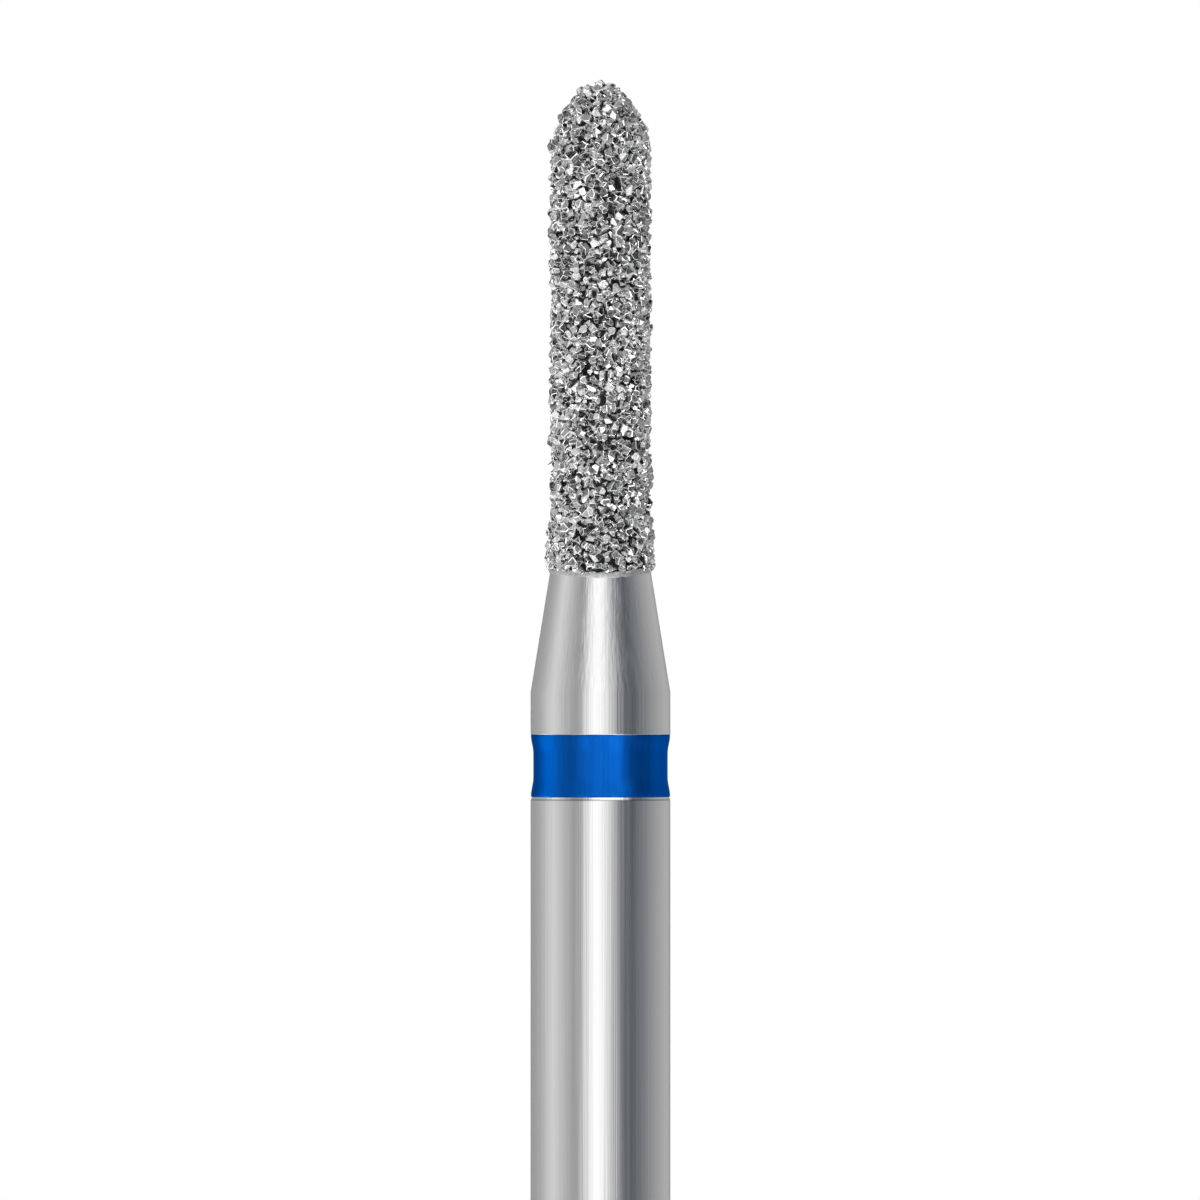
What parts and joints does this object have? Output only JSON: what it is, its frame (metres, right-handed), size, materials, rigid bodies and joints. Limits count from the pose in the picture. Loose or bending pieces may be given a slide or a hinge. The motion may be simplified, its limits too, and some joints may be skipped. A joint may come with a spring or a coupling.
{
  "type": "dental bur",
  "caption": "Diamond grit dental bur with a bullet-shaped head, a tapered neck, a blue colour ring and a plain friction grip shank.",
  "frame": {"origin": "centre of the flat end of the shank", "axes": "+Z along the axis of rotation, from the shank's end to the tip of the head; X and Y are any two directions across it"},
  "size_m": [0.0016, 0.0016, 0.019],
  "materials": {
    "stainless_steel": "fine turned and polished, bright",
    "diamond_grit": "rough layer of diamond grains set in nickel, grey with bright points",
    "blue_lacquer": "clear blue lacquer over bright steel, gloss"
  },
  "bodies": {
    "root": {"steel_blank": "stainless_steel", "diamond_coat": "diamond_grit", "colour_ring": "blue_lacquer"}
  },
  "joints": []
}
